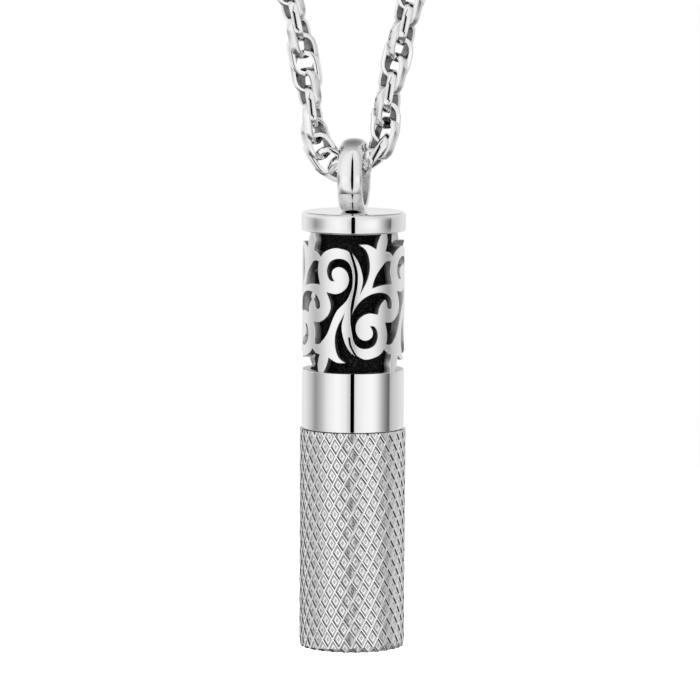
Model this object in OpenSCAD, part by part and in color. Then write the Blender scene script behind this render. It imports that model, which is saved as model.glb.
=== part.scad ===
// Perfume locket on a rope chain. Z is up, and the locket hangs at the bottom of the chain's loop.
// The origin is the inner side of the loop at the nape, where the chain hangs.

/* [Cap] */
// Diameter of the cap
cap_d = 10; // [9.9:0.1:10.4]
// Height of the cap
cap_h = 1.85; // [1.8:0.05:2.4]
// Rounding of the cap's upper edge
cap_round = 0.4; // [0.2:0.1:0.6]

/* [Bail ring] */
// Outer diameter of the bail ring
bail_d = 7.34; // [7.3:0.02:7.6]
// Hole of the bail ring
bail_hole_d = 5.6; // [5.6:0.02:5.8]
// Width of the bail ring's band
bail_w = 2.35; // [2:0.05:2.4]
// Radius that crowns the outside of the band
bail_crown_r = 1.63; // [1.6:0.01:2.4]
// Turn of the bail ring on the cap
bail_turn = 8; // [0:1:14]

/* [Pierced tube] */
// Outer diameter of the tube
tube_d = 9.8; // [9.6:0.1:9.8]
// Bore of the tube
tube_bore_d = 8.2; // [8.1:0.1:8.4]
// Height of the pierced stretch
pierced_h = 13.25; // [13.25:0.05:13.35]
// Height of the plain collar
collar_h = 5.75; // [5:0.25:8]
// Motifs round the tube
motifs = 4; // [4:1:4]

/* [Scent core] */
// Diameter of the felt core
core_d = 7.4; // [6.6:0.1:7.6]

/* [Knurled base] */
// Diameter over the knurl's ridges
base_d = 10.2; // [10:0.02:10.3]
// Height of the knurled case
base_h = 21.2; // [16:0.1:26]
// Depth of the knurl's pits
knurl_depth = 0.18; // [0.1:0.01:0.25]
// Ridges of the knurl that climb to the right
knurl_right = 29; // [24:1:34]
// Ridges of the knurl that climb to the left
knurl_left = 27; // [24:1:34]
// Height from one right-hand ridge to the next above it
knurl_right_rise = 2.15; // [1.6:0.05:2.6]
// Height from one left-hand ridge to the next above it
knurl_left_rise = 1.64; // [1.4:0.02:2.2]
// Diameter of the reservoir in the base
reservoir_d = 6; // [5.9:0.1:6.4]
// Length of the spigot that enters the collar
spigot_h = 4.2; // [3:0.1:4.5]

/* [Chain] */
// Diameter of the rope of links
chain_d = 2.8; // [2.6:0.1:2.9]

/* [Clasp] */
// Width of the clasp
clasp_w = 5.2; // [5:0.1:6]
// Thickness of the clasp
clasp_t = 2.2; // [1.8:0.1:2.6]
// Outer diameter of a jump ring
jump_d = 4.6; // [4.4:0.1:4.8]
// Wire of a jump ring
jump_wire = 0.8; // [0.7:0.05:0.9]

/* [Hidden] */
$fn = 96;
eps = 0.01;

// Heights below are counted from the cap's top face, which hangs at cap_top.
cap_top = -252;
bail_sunk = 0.3;
bail_z = bail_d / 2 - bail_sunk;
socket_r = 4.6;
socket_h = 1.1;
end_ring_r = 4.55;
end_ring_gap = 0.1;
cap_lower_round = 0.15;
collar_top = -cap_h - pierced_h;
collar_bottom = collar_top - collar_h;
seam = 0.06;
base_top = collar_bottom - seam;
base_bottom = base_top - base_h;
spigot_clear = 0.05;
spigot_r = tube_bore_d / 2 - spigot_clear;
spigot_top = base_top + spigot_h;
reservoir_floor = 2.2;
core_gap = 0.3;
core_round = 0.3;
base_edge = 0.35;

// The scrollwork is drawn on the unrolled tube: the first number runs round the tube to the right,
// the second up, both from the motif's centre. Each list is one smooth edge, and edges meet in corners.
tube_r = tube_d / 2;
motif_z = -cap_h - pierced_h / 2;
motif_top = 6.7;
motif_shift = -0.11;
motif_lean = 0.012;
motif_near = 2.4;
motif_far = 5.2;

bulb = [
    [-2.6, 1.05], [-1.7, 0.9], [-1, 1.12], [-0.54, 1.6], [-0.35, 2.26], [-0.5, 2.95],
    [-0.9, 3.4], [-1.45, 3.52], [-1.95, 3.25], [-2.1, 2.85], [-2, 2.45], [-1.8, 2.15]
];
scroll_hollow = [
    [-1.8, 2.15], [-2.2, 2.2], [-2.5, 2.6], [-2.6, 3.2], [-2.3, 3.93],
    [-1.54, 4.28], [-0.73, 4.17], [-0.2, 3.6], [0, 2.7]
];
stem_side = [
    [0, 2.7], [-0.03, 1.6], [-0.54, 0.35], [-1.44, -0.6], [-1.96, -1.6], [-2.5, -2.95], [-3.3, -3.9]
];
foot = [[-3.3, -3.9], [-3.7, -4.02], [-4.1, -3.95]];
scroll_back = [[-4.1, -3.95], [-4, -3.2], [-4.07, -2.6], [-4.28, -1.85]];
curl_back = [[-4.28, -1.85], [-3.33, -1.84], [-2.4, -1.14], [-2.12, -0.14], [-2.6, 1.05]];
neck_side = [[0, -2.7], [-0.14, -1.9], [-0.08, -1.1]];
arm_under = [
    [-0.08, -1.1], [0.35, -0.3], [0.84, 0.29], [1.45, 0.71], [2.2, 0.98], [3.05, 1], [3.8, 0.72],
    [4.25, 0.15], [4.32, -0.4], [4.05, -0.62], [3.7, -0.42], [3.58, 0.05], [3.4, 0.36]
];
hook_back = [[3.4, 0.36], [2.97, 0.02], [2.7, -0.45], [2.6, -1.05]];
arm_over = [[4.28, 1.74], [3.4, 1.76], [2.7, 1.7], [1.95, 1.5]];
leaf_side = [[1.95, 1.5], [2.12, 2.2], [2.5, 2.95], [3.3, 3.9]];
strut_right_side = [[-4.23, motif_top], [-4.12, 5.9], [-4.35, 4.95]];
flare = [[-4.35, 4.95], [-3.8, 4.82], [-3.35, 4.42]];
scroll_top = [[-3.35, 4.42], [-2.8, 4.97], [-1.75, 5.32], [-0.65, 5.13], [-0.24, 4.9]];
blade_side = [[-0.24, 4.9], [0.45, 4.15], [0.85, 3.13], [1, 2.1], [0.74, 0.98]];
leaf_under = [[0.74, 0.98], [1.34, 2.14], [1.62, 3.2], [1.55, 4.29], [1.2, 5.15], [0.5, 5.66]];
leaf_top = [[0.5, 5.66], [1.4, 5.66], [2.29, 5.2]];
strut_left_side = [[2.29, 5.2], [2.5, 6], [2.88, motif_top]];
slit_left = [
    [-0.36, 4.93], [-0.03, 4], [0.19, 3.1], [0.24, 2.3], [0.15, 1.3], [-0.03, 0.4], [-0.16, -0.4],
    [-0.2, -1.2]
];
slit_right = [
    [0, -1.1], [0.1, -0.4], [0.21, 0.4], [0.38, 1.3], [0.47, 2.3], [0.42, 3.1], [0.18, 4], [-0.12, 4.88]
];
nick_left = [[0.36, -5.02], [-0.03, -4.35], [-0.25, -3.8], [-0.33, -3.2]];
nick_right = [[-0.15, -3.2], [-0.05, -3.8], [0.17, -4.35], [0.55, -4.97]];

curve_steps = 2;

// Catmull-Rom curve through the points of one edge, without its last point
function blend(a, b, c, d, t) =
    0.5 * (2 * b + (c - a) * t + (2 * a - 5 * b + 4 * c - d) * t * t + (3 * b - a - 3 * c + d) * t * t * t);
function smooth(edge) = [
    for (i = [0 : len(edge) - 2], j = [0 : curve_steps - 1])
        blend(
            edge[max(i - 1, 0)], edge[i], edge[i + 1], edge[min(i + 2, len(edge) - 1)],
            j / curve_steps
        )
];
function outline(edges) = [for (edge = edges) each smooth(edge)];
function half_turn(edge) = [for (p = edge) -p];
function degrees_round(s) = s / tube_r * 180 / PI;

crown_window = outline([
    strut_right_side, flare, scroll_top, blade_side, leaf_under, leaf_top, strut_left_side,
    [[2.88, motif_top], [-4.23, motif_top]]
]);
windows = [
    outline([bulb, scroll_hollow, stem_side, foot, scroll_back, curl_back]),
    outline([half_turn(bulb), half_turn(scroll_hollow), neck_side, arm_under, hook_back]),
    outline([leaf_side, half_turn(foot), half_turn(scroll_back), arm_over]),
    crown_window,
    half_turn(crown_window),
    outline([slit_left, [[-0.2, -1.2], [0, -1.1]], slit_right, [[-0.12, 4.88], [-0.36, 4.93]]]),
    outline([nick_left, nick_right])
];

// The chain's loop in the plane of X and Z: round numbers down the right strand and the left one,
// and between them the bend that sits in the bail.
right_strand = [
    [10.1, 2.6], [16, 1.9], [21.5, 0], [26.5, -3], [31, -7.2], [34.6, -12.4], [37.2, -18.4],
    [38.6, -25], [38.9, -32], [38.3, -42], [36.8, -56], [34.3, -74], [30.9, -95], [26.8, -118],
    [22, -143], [16.8, -170], [10.9, -201], [5.25, -232], [4.15, -237], [3.1, -242]
];
left_strand = [
    [-10.1, 2.6], [-16, 1.9], [-21.5, 0], [-26.5, -3], [-31, -7.2], [-34.7, -12.4], [-37.4, -18.4],
    [-38.9, -25], [-39.2, -32], [-38.8, -42], [-37.6, -56], [-35.6, -74], [-32.8, -95], [-29.2, -118],
    [-24.8, -143], [-19.6, -170], [-13.2, -201], [-6, -232], [-4.9, -237], [-4.1, -242]
];
bend_r = 2.85;
bend_z = -245.2;
bend = [for (a = [10 : 20 : 170]) [bend_r * cos(a), bend_z - bend_r * sin(a)]];
route = concat(right_strand, bend, [for (i = [len(left_strand) - 1 : -1 : 0]) left_strand[i]]);
chain_sides = 8;

// The clasp and its rings lie along one line at the nape.
nape_z = 2.6;
jump_r = (jump_d - jump_wire) / 2;
left_ring_x = -7.5;
eye_x = -5.6;
eye_hole_r = 0.8;
eye_r = 1.5;
eye_t = 1.2;
clasp_left = -4.6;
clasp_right = 8;
clasp_opening_left = 1.8;
clasp_opening_right = 7;
clasp_opening_w = 2.9;
right_ring_x = 7.5;

// Flat bar with round ends, from x = a to x = b
module stadium(a, b, width) {
    translate([a + width / 2, 0]) circle(d = width);
    translate([b - width / 2, 0]) circle(d = width);
    translate([a + width / 2, -width / 2]) square([b - a - width, width]);
}

// Half section of a disc with rounded outer edges, from z = 0 down
module disc_section(r, h, upper, lower) {
    difference() {
        translate([0, -h]) square([r, h]);
        difference() {
            translate([r - upper, -upper]) square([upper + 1, upper + 1]);
            translate([r - upper, -upper]) circle(r = upper);
        }
        difference() {
            translate([r - lower, -h - 1]) square([lower + 1, lower + 1]);
            translate([r - lower, -h + lower]) circle(r = lower);
        }
    }
}

module hanging() {
    translate([0, 0, cap_top]) children();
}

module chain() {
    count = len(route);
    tangents = [
        for (i = [0 : count - 1])
            let (step = route[min(i + 1, count - 1)] - route[max(i - 1, 0)]) step / norm(step)
    ];
    points = [
        for (i = [0 : count - 1], j = [0 : chain_sides - 1])
            let (
                angle = 360 * (j + 0.5) / chain_sides,
                across = chain_d / 2 * cos(angle),
                depth = chain_d / 2 * sin(angle)
            )
            [route[i][0] - tangents[i][1] * across, depth, route[i][1] + tangents[i][0] * across]
    ];
    sides = [
        for (i = [0 : count - 2], j = [0 : chain_sides - 1])
            let (
                here = i * chain_sides,
                next = here + chain_sides,
                k = (j + 1) % chain_sides
            )
            [here + j, next + j, next + k, here + k]
    ];
    near_end = [for (j = [0 : chain_sides - 1]) j];
    far_end = [for (j = [chain_sides - 1 : -1 : 0]) (count - 1) * chain_sides + j];
    color("silver") polyhedron(points = points, faces = concat(sides, [near_end, far_end]));
}

module clasp() {
    color("silver")
    translate([0, 0, nape_z])
    rotate([90, 0, 0])
    difference() {
        union() {
            translate([0, 0, -clasp_t / 2]) linear_extrude(clasp_t)
                stadium(clasp_left, clasp_right, clasp_w);
            translate([eye_x, 0, -eye_t / 2]) cylinder(r = eye_r, h = eye_t);
        }
        translate([0, 0, -clasp_t]) linear_extrude(2 * clasp_t)
            stadium(clasp_opening_left, clasp_opening_right, clasp_opening_w);
        translate([eye_x, 0, -eye_t]) cylinder(r = eye_hole_r, h = 2 * eye_t);
    }
}

module jump_ring(x) {
    color("silver")
    translate([x, 0, nape_z])
    rotate_extrude()
    translate([jump_r, 0]) circle(d = jump_wire);
}

module jump_ring_left() {
    jump_ring(left_ring_x);
}

module jump_ring_right() {
    jump_ring(right_ring_x);
}

module bail() {
    translate([0, 0, bail_z])
    rotate([0, 0, -bail_turn])
    rotate([0, 90, 0])
    rotate_extrude()
    intersection() {
        translate([bail_d / 2 - bail_crown_r, 0]) circle(r = bail_crown_r);
        translate([bail_hole_d / 2, -bail_w / 2]) square([bail_crown_r, bail_w]);
    }
}

module cap_with_bail() {
    color("silver")
    hanging() {
        difference() {
            rotate_extrude() disc_section(cap_d / 2, cap_h, cap_round, cap_lower_round);
            translate([0, 0, -cap_h - eps]) cylinder(r = socket_r, h = socket_h + eps);
        }
        bail();
    }
}

// All windows of one motif, turned a little to the left and leaning, and cut square through the tube
// wall: the cutter spreads from the axis out
module motif_cutter() {
    rotate([90, 0, 0])
    translate([0, 0, motif_near])
    linear_extrude(motif_far - motif_near, scale = [motif_far / motif_near, 1], slices = 1, segments = 1)
    union() {
        for (window = windows)
            polygon([
                for (p = window)
                    [motif_near * tan(degrees_round(p[0] + motif_shift + motif_lean * p[1])), p[1]]
            ]);
    }
}

module pierced_tube() {
    color("silver")
    hanging()
    difference() {
        union() {
            translate([0, 0, collar_bottom]) cylinder(r = tube_r, h = pierced_h + collar_h);
            translate([0, 0, collar_bottom])
                cylinder(r = end_ring_r, h = pierced_h + collar_h + socket_h - end_ring_gap);
        }
        translate([0, 0, collar_bottom - 1]) cylinder(d = tube_bore_d, h = pierced_h + collar_h + cap_h + 1);
        for (motif = [0 : motifs - 1])
            translate([0, 0, motif_z]) rotate([0, 0, motif * 360 / motifs]) motif_cutter();
    }
}

module scent_core() {
    core_top = -cap_h + socket_h;
    color("#1c1815")
    hanging()
    translate([0, 0, core_top])
    rotate_extrude()
    disc_section(core_d / 2, core_top - spigot_top - core_gap, core_round, core_round);
}

// Place where two ridges of the knurl cross. The ridges of each set are numbered round to the right.
function crossing(right, left, r) =
    let (
        turn = (knurl_right_rise * knurl_right + knurl_left_rise * knurl_left) / 360,
        angle = (knurl_right_rise * right + knurl_left_rise * left) / turn,
        rise = knurl_left_rise * (left - knurl_left * angle / 360)
    )
    [r * sin(angle), -r * cos(angle), base_top + rise];

// Skin of the knurl, run past both ends of the case: two sets of ridges cross, and each diamond
// between them is a pit
module knurl_skin() {
    past = 3;
    row_drop = crossing(0, 0, 1)[2] - crossing(1, 0, 1)[2];
    rows = ceil(base_h / row_drop) + 2 * past;
    starts = [for (left = [0 : knurl_left]) round(left * knurl_right / knurl_left) - past];
    steps = [for (left = [0 : knurl_left - 1]) starts[left + 1] - starts[left]];
    crossings = [
        for (left = [0 : knurl_left - 1], row = [0 : rows])
            crossing(starts[left] + row, left, base_d / 2)
    ];
    pits = [
        for (left = [0 : knurl_left - 1], row = [steps[left] : rows - 1])
            crossing(starts[left] + row + 0.5, left + 0.5, base_d / 2 - knurl_depth)
    ];
    function at(left, row) = (left % knurl_left) * (rows + 1) + row;
    function pit_at(left, row) = len(crossings) + left * rows - starts[left + 1] + starts[0] + row;
    walls = [
        for (left = [0 : knurl_left - 1], row = [steps[left] : rows - 1])
            let (
                west = at(left, row),
                south = at(left, row + 1),
                north = at(left + 1, row - steps[left]),
                east = at(left + 1, row + 1 - steps[left]),
                pit = pit_at(left, row)
            )
            each [[west, north, pit], [north, east, pit], [east, south, pit], [south, west, pit]]
    ];
    top_centre = len(crossings) + len(pits);
    bottom_centre = top_centre + 1;
    lid = [
        for (left = [0 : knurl_left - 1])
            each [
                for (row = [0 : steps[left] - 1]) [top_centre, at(left, row + 1), at(left, row)],
                [top_centre, at(left + 1, 0), at(left, steps[left])]
            ]
    ];
    floor_faces = [
        for (left = [0 : knurl_left - 1])
            each [
                [bottom_centre, at(left, rows), at(left + 1, rows - steps[left])],
                for (row = [rows - steps[left] : rows - 1])
                    [bottom_centre, at(left + 1, row), at(left + 1, row + 1)]
            ]
    ];
    centres = [[0, 0, base_top + past * row_drop], [0, 0, base_bottom - past * row_drop]];
    polyhedron(points = concat(crossings, pits, centres), faces = concat(walls, lid, floor_faces));
}

// Knurled skin trimmed flat at the top and with a slanted lower edge
module knurled_body() {
    reach = base_d / 2 + 1;
    foot_r = base_d / 2 - base_edge;
    intersection() {
        knurl_skin();
        rotate_extrude()
        polygon([
            [0, base_top], [reach, base_top], [reach, base_bottom + reach - foot_r],
            [foot_r, base_bottom], [0, base_bottom]
        ]);
    }
}

module knurled_base() {
    color("gainsboro")
    hanging()
    difference() {
        union() {
            knurled_body();
            translate([0, 0, base_top - 1]) cylinder(r = spigot_r, h = spigot_h + 1);
        }
        translate([0, 0, base_bottom + reservoir_floor])
            cylinder(d = reservoir_d, h = base_h - reservoir_floor + spigot_h + 1);
    }
}

chain();
clasp();
jump_ring_left();
jump_ring_right();
cap_with_bail();
pierced_tube();
scent_core();
knurled_base();
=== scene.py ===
"""A perfume locket of pierced and knurled steel, hung on a rope chain, in a pale studio.

Lengths in the classes below are millimetres. Heights on the pendant count from the cap's top face.
"""

import logging
import math
from dataclasses import dataclass
from enum import Enum
from typing import Iterable

import bmesh
import bpy
from bmesh.types import BMEdge, BMesh, BMFace, BMVert
from bpy.types import Material, Mesh, Node, NodeSocket, NodeTree, Object
from mathutils import Matrix, Quaternion, Vector, noise
from mathutils.geometry import interpolate_bezier


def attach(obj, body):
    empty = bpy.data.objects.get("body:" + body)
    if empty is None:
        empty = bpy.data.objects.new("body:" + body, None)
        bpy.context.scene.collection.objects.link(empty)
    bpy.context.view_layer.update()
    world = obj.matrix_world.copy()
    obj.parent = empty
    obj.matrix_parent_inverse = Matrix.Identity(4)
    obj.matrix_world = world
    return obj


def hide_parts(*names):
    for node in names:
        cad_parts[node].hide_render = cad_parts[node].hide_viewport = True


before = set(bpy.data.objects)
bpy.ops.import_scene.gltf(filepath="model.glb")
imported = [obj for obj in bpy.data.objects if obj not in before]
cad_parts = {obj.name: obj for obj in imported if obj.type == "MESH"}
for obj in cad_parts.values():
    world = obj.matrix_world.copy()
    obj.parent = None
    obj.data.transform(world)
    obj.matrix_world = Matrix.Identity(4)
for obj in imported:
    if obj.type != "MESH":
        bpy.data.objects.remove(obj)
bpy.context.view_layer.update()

log = logging.getLogger("locket")

MM = 0.001
CAP_TOP = -252.0
FULL_TURN = 2 * math.pi
Z_AXIS = Vector((0, 0, 1))
Point = tuple[float, float]  # also a range, from low to high


class Body(str, Enum):
    """The moving bodies that pieces ride on."""

    LOOP = "loop"
    PENDANT = "pendant"
    BASE = "base"


class Slot(str, Enum):
    """The record's material slots."""

    POLISHED = "polished_steel"
    CHAIN = "chain_steel"
    KNURLED = "knurled_steel"
    FELT = "felt"


@dataclass(frozen=True)
class Stack:
    """Heights of the pendant's stretches, from the cap down, and of its moving joint's seam."""

    cap: float = 1.85
    pierced: float = 13.25
    collar: float = 5.75
    seam: float = 0.06
    base: float = 21.2

    def base_top(self) -> float:
        """Height of the knurled case's top edge."""
        return -self.cap - self.pierced - self.collar - self.seam


STACK = Stack()


def polar_radius(point: Vector) -> float:
    """Distance of a point from the pendant's axis."""
    return math.hypot(point.x, point.y)


def outward(point: Vector) -> Vector:
    """Direction from the pendant's axis to a point."""
    return Vector((point.x, point.y, 0)).normalized()


def at_radius(point: Vector, radius: float, height: float) -> Vector:
    """A point moved to another radius and height."""
    share = radius / polar_radius(point)
    return Vector((point.x * share, point.y * share, height))


def only(kind: type, geom: Iterable) -> list:
    """The elements of one kind."""
    return [item for item in geom if isinstance(item, kind)]


def everything(bm: BMesh) -> list:
    """All vertices, edges and faces of a mesh."""
    return bm.verts[:] + bm.edges[:] + bm.faces[:]


def cut(bm: BMesh, place: Iterable[float], normal: Iterable[float], clear: bool = False) -> None:
    """Cuts a mesh with a plane.

    Args:
        bm: The mesh.
        place: A point of the plane.
        normal: The way that the plane faces.
        clear: Takes away what lies on that side of it.
    """
    geom = everything(bm)
    bmesh.ops.bisect_plane(bm, geom=geom, dist=1e-5, plane_co=place, plane_no=normal, clear_outer=clear)


def heal(bm: BMesh, distance: float = 1e-4) -> None:
    """Merges vertices that meet within a distance, and turns the faces outward."""
    bmesh.ops.remove_doubles(bm, verts=bm.verts, dist=distance)
    bmesh.ops.recalc_face_normals(bm, faces=bm.faces)


def ring_edges(bm: BMesh, radius: float, height: float) -> list[BMEdge]:
    """Edges of the circle of one radius at one height.

    Args:
        bm: The turned mesh.
        radius: Radius of the circle.
        height: Its height.

    Returns:
        The edges on it.
    """
    slack = 1e-3

    def on_ring(vert: BMVert) -> bool:
        """True for a vertex on the circle."""
        return abs(polar_radius(vert.co) - radius) < slack and abs(vert.co.z - height) < slack

    return [edge for edge in bm.edges if all(on_ring(vert) for vert in edge.verts)]


def chain_of_verts(bm: BMesh, points: Iterable[Vector], closed: bool = False) -> list:
    """Makes vertices, joined one after another by edges, and the last to the first where closed."""
    verts = [bm.verts.new(point) for point in points]
    pairs = list(zip(verts, verts[1:]))
    if closed:
        pairs.append((verts[-1], verts[0]))
    return verts + [bm.edges.new(pair) for pair in pairs]


def turned(section: Iterable[Point], steps: int) -> BMesh:
    """Closed solid turned round the pendant's axis from a half section of radii and heights."""
    bm = bmesh.new()
    geom = chain_of_verts(bm, [Vector((radius, 0, height)) for radius, height in section])
    bmesh.ops.spin(bm, geom=geom, cent=(0, 0, 0), axis=Z_AXIS, angle=FULL_TURN, steps=steps, use_merge=True)
    heal(bm)
    return bm


def soften(bm: BMesh, edges: list, width: float, segments: int) -> None:
    """Rounds edges over a width, with a number of facets across it."""
    bmesh.ops.bevel(
        bm, geom=edges, offset=width, offset_type="OFFSET", segments=segments, profile=0.5,
        affect="EDGES", clamp_overlap=False, material=-1,
    )


def shade(bm: BMesh, sharp_degrees: float) -> None:
    """Smooths all faces, and keeps edges steeper than an angle in degrees sharp."""
    limit = math.radians(sharp_degrees)
    for face in bm.faces:
        face.smooth = True
    for edge in bm.edges:
        edge.smooth = edge.calc_face_angle(0.0) < limit


def as_mesh(bm: BMesh, name: str) -> Mesh:
    """Writes a bmesh, which is used up, to a mesh."""
    mesh = bpy.data.meshes.new(name)
    bm.to_mesh(mesh)
    bm.free()
    return mesh


def as_object(bm: BMesh, name: str) -> Object:
    """Makes a bmesh, which is used up, an object of the scene."""
    made = bpy.data.objects.new(name, as_mesh(bm, name))
    bpy.context.scene.collection.objects.link(made)
    return made


def as_piece(bm: BMesh, name: str, height: float = CAP_TOP) -> Object:
    """Makes a bmesh in millimetres a piece at the origin, with its own zero at a height."""
    bm.transform(Matrix.Scale(MM, 4) @ Matrix.Translation((0, 0, height)))
    return as_object(bm, name)


def weigh_normals(piece: Object, weight: int) -> None:
    """Lets broad faces set the shading at their edges: 50 goes by area, 100 by the broadest."""
    modifier = piece.modifiers.new("broad_faces_first", "WEIGHTED_NORMAL")
    modifier.keep_sharp = True
    modifier.weight = weight


def fused(piece: Object, other: Object) -> Object:
    """Joins two overlapping closed meshes into one skin.

    Args:
        piece: The mesh that stays.
        other: The mesh that is taken in and removed.

    Returns:
        The first piece with its new mesh.
    """
    modifier = piece.modifiers.new("solder", "BOOLEAN")
    modifier.operation = "UNION"
    modifier.solver = "EXACT"
    modifier.object = other
    graph = bpy.context.evaluated_depsgraph_get()
    mesh = bpy.data.meshes.new_from_object(piece.evaluated_get(graph))
    mesh.name = piece.name
    piece.modifiers.clear()
    piece.data = mesh
    bpy.data.objects.remove(other)
    return piece


def set_radial_normals(piece: Object) -> None:
    """Gives the round walls of a tube the shading of a true cylinder.

    Args:
        piece: A tube round the pendant's axis.
    """
    mesh = piece.data
    nearly_radial = 0.985
    normals = [Vector(corner.vector) for corner in mesh.corner_normals]
    for face in mesh.polygons:
        facing = face.normal.dot(outward(face.center))
        if abs(facing) < nearly_radial:
            continue
        for loop in face.loop_indices:
            radial = outward(mesh.vertices[mesh.loops[loop].vertex_index].co)
            normals[loop] = radial if facing > 0 else -radial
    mesh.normals_split_custom_set(normals)


class Nodes:
    """Short ways to place and join shader nodes in one tree."""

    def __init__(self, tree: NodeTree) -> None:
        """Keeps the tree."""
        self.tree = tree

    def feed(self, node: Node, inputs: dict[str | int, object]) -> None:
        """Joins sockets to a node's inputs, by name or number, and sets the plain values on them."""
        for name, value in inputs.items():
            if isinstance(value, NodeSocket):
                self.tree.links.new(value, node.inputs[name])
            else:
                node.inputs[name].default_value = value

    def add(self, kind: str, inputs: dict[str | int, object] | None = None, **values: object) -> Node:
        """Adds a node.

        Args:
            kind: Blender's name of the node type.
            inputs: What its inputs get, by name or number.
            values: Settings of the node, by attribute name.

        Returns:
            The node.
        """
        node = self.tree.nodes.new(kind)
        for name, value in values.items():
            setattr(node, name, value)
        self.feed(node, inputs or {})
        return node

    def surface(self, **inputs: object) -> None:
        """Feeds the material's Principled shader, whose inputs are named with _ for a space."""
        shader = self.tree.nodes["Principled BSDF"]
        self.feed(shader, {name.replace("_", " "): value for name, value in inputs.items()})

    def coordinates(self, kind: str) -> NodeSocket:
        """Place on the piece, or direction in the world."""
        return self.add("ShaderNodeTexCoord").outputs[kind]

    def axes(self, vector: NodeSocket) -> list[NodeSocket]:
        """Parts of a vector along X, Y and Z."""
        return list(self.add("ShaderNodeSeparateXYZ", {"Vector": vector}).outputs)

    def math(self, operation: str, *terms: object) -> NodeSocket:
        """Result of an operation on sockets and plain numbers."""
        return self.add("ShaderNodeMath", dict(enumerate(terms)), operation=operation).outputs[0]

    def noise(self, vector: NodeSocket, scale: float, detail: float) -> NodeSocket:
        """Cloudy pattern, with so many spots in a metre and layers of finer detail."""
        inputs = {"Vector": vector, "Scale": scale, "Detail": detail}
        return self.add("ShaderNodeTexNoise", inputs).outputs["Fac"]

    def bump(self, height: NodeSocket, strength: float, distance: float) -> NodeSocket:
        """Normal of a surface that rises by a distance, in metres, where the height is 1."""
        inputs = {"Height": height, "Strength": strength, "Distance": distance}
        return self.add("ShaderNodeBump", inputs).outputs["Normal"]

    def step(self, value: NodeSocket, low: float, high: float) -> NodeSocket:
        """Goes from 0 to 1 while a value goes from low to high."""
        inputs = {"Value": value, "From Min": low, "From Max": high}
        return self.add("ShaderNodeMapRange", inputs).outputs["Result"]

    def blend(self, factor: NodeSocket, *colours: object) -> NodeSocket:
        """Mixes two colours, sockets or grey values, by the share of the second one."""
        first, second = (
            colour if isinstance(colour, NodeSocket) else (*grey(colour), 1.0) for colour in colours
        )
        inputs = {"Factor": factor, "A": first, "B": second}
        return self.add("ShaderNodeMix", inputs, data_type="RGBA").outputs["Result"]

    def ramp(self, value: NodeSocket, stops: Iterable[tuple[float, tuple]]) -> NodeSocket:
        """Colour that follows a value, through pairs of position and colour."""
        node = self.add("ShaderNodeValToRGB", {"Fac": value})
        elements = node.color_ramp.elements
        stops = list(stops)
        while len(elements) < len(stops):
            elements.new(1.0)
        for element, (position, colour) in zip(elements, stops):
            element.position = position
            element.color = (*colour, 1.0)
        return node.outputs["Color"]


def grey(value: float) -> tuple[float, float, float]:
    """A neutral colour."""
    return (value, value, value)


def new_material(name: str) -> tuple[Material, Nodes]:
    """Material with a plain Principled shader, and the way to its nodes."""
    material = bpy.data.materials.new(name)
    material.use_nodes = True
    return material, Nodes(material.node_tree)


class PolishGroup:
    """Node group of a polished metal: hairlines from the cloth, and haze from handling."""

    name = "polish_marks"

    @classmethod
    def tree(cls) -> NodeTree:
        """Finds the group, or builds it once.

        Returns:
            The node tree, with the outputs Roughness and Height.
        """
        made = bpy.data.node_groups.get(cls.name)
        if made:
            return made
        tree = bpy.data.node_groups.new(cls.name, "ShaderNodeTree")
        for label, low, high in (("Gloss", 0.04, 1.0), ("Haze", 0.05, 1.0), ("Grain", 1.0, 100.0)):
            socket = tree.interface.new_socket(label, in_out="INPUT", socket_type="NodeSocketFloat")
            socket.default_value = low
            socket.max_value = high
        tree.interface.new_socket("Roughness", in_out="OUTPUT", socket_type="NodeSocketFloat")
        tree.interface.new_socket("Height", in_out="OUTPUT", socket_type="NodeSocketFloat")
        nodes = Nodes(tree)
        given = nodes.add("NodeGroupInput").outputs
        place = nodes.coordinates("Object")
        stretched = nodes.add("ShaderNodeMapping", {"Vector": place, "Scale": (1.0, 1.0, 9.0)})
        hairlines = nodes.noise(stretched.outputs["Vector"], 2600.0, 4.0)
        haze = nodes.math("MULTIPLY", nodes.noise(place, 420.0, 3.0), given["Haze"])
        lines = nodes.math("MULTIPLY", nodes.math("MULTIPLY", hairlines, given["Grain"]), haze)
        rough = nodes.math("ADD", given["Gloss"], lines)
        nodes.add("NodeGroupOutput", {"Roughness": rough, "Height": hairlines})
        return tree


@dataclass(frozen=True)
class Steel:
    """A stainless steel finish."""

    name: str
    colour: tuple[float, float, float]
    gloss: float
    haze: float
    relief: float

    def material(self) -> Material:
        """Finds the material, or builds it once.

        Returns:
            The material.
        """
        made = bpy.data.materials.get(self.name)
        if made:
            return made
        material, nodes = new_material(self.name)
        inputs = {"Gloss": self.gloss, "Haze": self.haze, "Grain": 1.0}
        marks = nodes.add("ShaderNodeGroup", inputs, node_tree=PolishGroup.tree()).outputs
        hairline_depth = 0.00001
        nodes.surface(
            Metallic=1.0, Base_Color=(*self.colour, 1.0), Roughness=marks["Roughness"],
            Normal=nodes.bump(marks["Height"], self.relief, hairline_depth),
        )
        return material


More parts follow.
